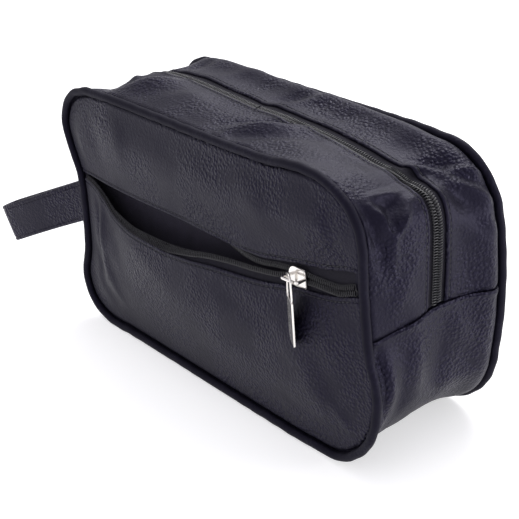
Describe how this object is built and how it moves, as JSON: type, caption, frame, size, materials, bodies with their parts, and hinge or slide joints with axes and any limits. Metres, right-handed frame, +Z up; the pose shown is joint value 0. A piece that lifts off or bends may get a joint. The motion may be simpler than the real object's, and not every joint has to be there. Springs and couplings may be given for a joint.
{
  "type": "zip-top shaving kit bag",
  "caption": "Soft piped wash bag in grained leather cloth with a zip over the top and ends, a zipped front pocket and a wrist loop.",
  "frame": {"origin": "middle of the bag's base on its resting face", "axes": "+X to the right along the bag's length, -Y out of the front pocket, +Z up"},
  "size_m": [0.3235, 0.0992, 0.146],
  "materials": {
    "leather": "pebble grain, low sheen",
    "lining": "plain woven cloth",
    "zip_tape": "woven tape",
    "zip_coil": "moulded coil",
    "nickel": "bright nickel plate",
    "cord": "twisted cord"
  },
  "bodies": {
    "bag": {"front_panel": "leather", "pocket_front": "leather", "pocket_tape_upper": "zip_tape", "pocket_tape_lower": "zip_tape", "pocket_teeth_upper": "zip_coil", "pocket_teeth_lower": "zip_coil", "front_piping": "leather", "front_piping_cord": "cord", "front_seam_binding": "lining", "front_lining": "lining", "back_panel": "leather", "back_piping": "leather", "back_piping_cord": "cord", "back_seam_binding": "lining", "back_lining": "lining", "bottom_gusset": "leather", "bottom_lining": "lining", "front_strip_left": "leather", "front_strip_right": "leather", "back_strip_left": "leather", "back_strip_right": "leather", "front_tape_left": "zip_tape", "front_tape_right": "zip_tape", "back_tape_left": "zip_tape", "back_tape_right": "zip_tape", "front_teeth_left": "zip_coil", "front_teeth_right": "zip_coil", "back_teeth_left": "zip_coil", "back_teeth_right": "zip_coil"},
    "front_lip": {"front_strip_top": "leather", "front_tape_top": "zip_tape", "front_teeth_top": "zip_coil"},
    "back_lip": {"back_strip_top": "leather", "back_tape_top": "zip_tape", "back_teeth_top": "zip_coil"},
    "main_slider": {"main_slider": "nickel"},
    "main_puller": {"main_puller": "nickel"},
    "pocket_slider": {"pocket_slider": "nickel"},
    "pocket_puller": {"pocket_puller": "nickel"},
    "wrist_loop": {"wrist_loop": "leather"}
  },
  "joints": [
    {"name": "front_lip_fold", "type": "hinge", "parent": "bag", "child": "front_lip", "pos_m": [0, -0.0398, 0.1438], "axis": [1, 0, 0], "range_deg": [0, 75]},
    {"name": "back_lip_fold", "type": "hinge", "parent": "bag", "child": "back_lip", "pos_m": [0, 0.0398, 0.1438], "axis": [-1, 0, 0], "range_deg": [0, 75]},
    {"name": "main_zip_slide", "type": "slide", "parent": "bag", "child": "main_slider", "axis": [0, 0, 1], "range_m": [0, 0.023], "deforming": ["front_teeth_left", "back_teeth_left"]},
    {"name": "main_puller_swing", "type": "hinge", "parent": "main_slider", "child": "main_puller", "pos_m": [-0.1272, 0, 0.0825], "axis": [0, 1, 0], "range_deg": [0, 100]},
    {"name": "pocket_zip_slide", "type": "slide", "parent": "bag", "child": "pocket_slider", "axis": [0.9986, 0, 0.0523], "range_m": [-0.18, 0.022], "deforming": ["pocket_teeth_upper", "pocket_teeth_lower", "pocket_tape_lower"]},
    {"name": "pocket_puller_swing", "type": "hinge", "parent": "pocket_slider", "child": "pocket_puller", "pos_m": [0.0749, -0.04595, 0.09193], "axis": [0.9986, 0, 0.0523], "range_deg": [-150, 0]},
    {"name": "wrist_loop_swing", "type": "hinge", "parent": "bag", "child": "wrist_loop", "pos_m": [-0.1253, -0.03585, 0.07], "axis": [0, 0, 1], "range_deg": [-45, 40]}
  ]
}
